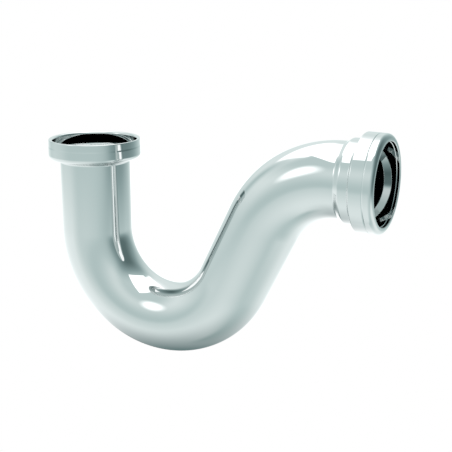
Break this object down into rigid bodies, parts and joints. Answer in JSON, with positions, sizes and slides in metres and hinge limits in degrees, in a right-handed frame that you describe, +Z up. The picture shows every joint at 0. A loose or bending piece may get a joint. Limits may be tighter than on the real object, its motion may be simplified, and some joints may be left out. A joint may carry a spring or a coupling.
{
  "type": "sink trap",
  "caption": "P-shaped waste trap bent from thin-wall polished steel tube, with a short turned socket on its upright inlet and a stepped turned socket on its level outlet.",
  "frame": {"origin": "centre of the inlet's mouth, in the plane of its rim", "axes": "+Z up along the inlet's axis, +X along the outlet's axis and towards its mouth, +Y across the trap"},
  "size_m": [0.2507, 0.066, 0.1689],
  "materials": {
    "polished_steel": "mirror-polished stainless steel"
  },
  "bodies": {
    "root": {"trap_body": "polished_steel"}
  },
  "joints": []
}
